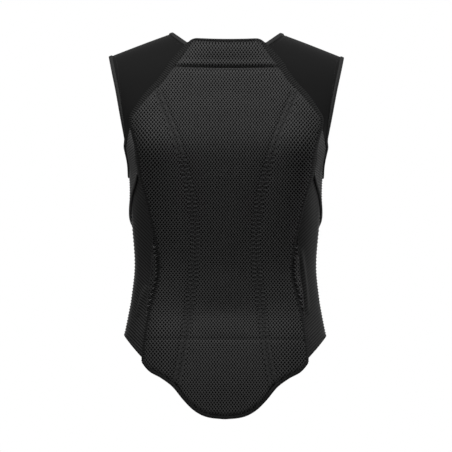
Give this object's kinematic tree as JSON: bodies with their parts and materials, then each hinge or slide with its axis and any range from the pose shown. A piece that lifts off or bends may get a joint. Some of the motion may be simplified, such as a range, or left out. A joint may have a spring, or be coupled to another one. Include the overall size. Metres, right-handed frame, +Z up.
{
  "type": "equestrian back protector",
  "caption": "Sleeveless zipped riding vest with a mesh-covered foam back, a rounded tail, ribbed stretch sides and bound neck and armholes.",
  "frame": {"origin": "on the shoulder line midway between the two neck points, where the vest hangs on its wearer", "axes": "+Z up along the spine, +Y the way the wearer faces, +X to the wearer's right"},
  "size_m": [0.3844, 0.2575, 0.6319],
  "materials": {
    "mesh_cover": "open air mesh over foam",
    "ribbed_tape": "cross-ribbed elastic tape",
    "smooth_binding": "folded stretch binding",
    "stretch_cloth": "smooth stretch cloth",
    "rib_knit": "diagonally ribbed stretch knit",
    "zip_plastic": "moulded coil on woven tape"
  },
  "bodies": {
    "root": {"neck_pad": "mesh_cover", "spine_pad": "mesh_cover", "wing_pad_right": "mesh_cover", "wing_pad_left": "mesh_cover", "seam_band_right": "mesh_cover", "seam_band_left": "mesh_cover", "tail_pad": "mesh_cover", "tail_wing_right": "mesh_cover", "tail_wing_left": "mesh_cover", "tail_band_right": "mesh_cover", "tail_band_left": "mesh_cover", "waist_gusset_right": "mesh_cover", "waist_gusset_left": "mesh_cover", "shoulder_tape_right": "ribbed_tape", "shoulder_tape_left": "ribbed_tape", "side_tape_right": "ribbed_tape", "side_tape_left": "ribbed_tape", "tail_binding": "smooth_binding", "neck_rim": "smooth_binding", "shoulder_panel_right": "stretch_cloth", "shoulder_panel_left": "stretch_cloth", "front_panel_right": "stretch_cloth", "front_panel_left": "stretch_cloth", "neck_binding_right": "ribbed_tape", "neck_binding_left": "ribbed_tape", "arm_binding_right": "smooth_binding", "arm_binding_left": "smooth_binding", "underarm_panel_right": "rib_knit", "underarm_panel_left": "rib_knit", "side_panel_right": "rib_knit", "side_panel_left": "rib_knit", "front_zip": "zip_plastic"}
  },
  "joints": []
}
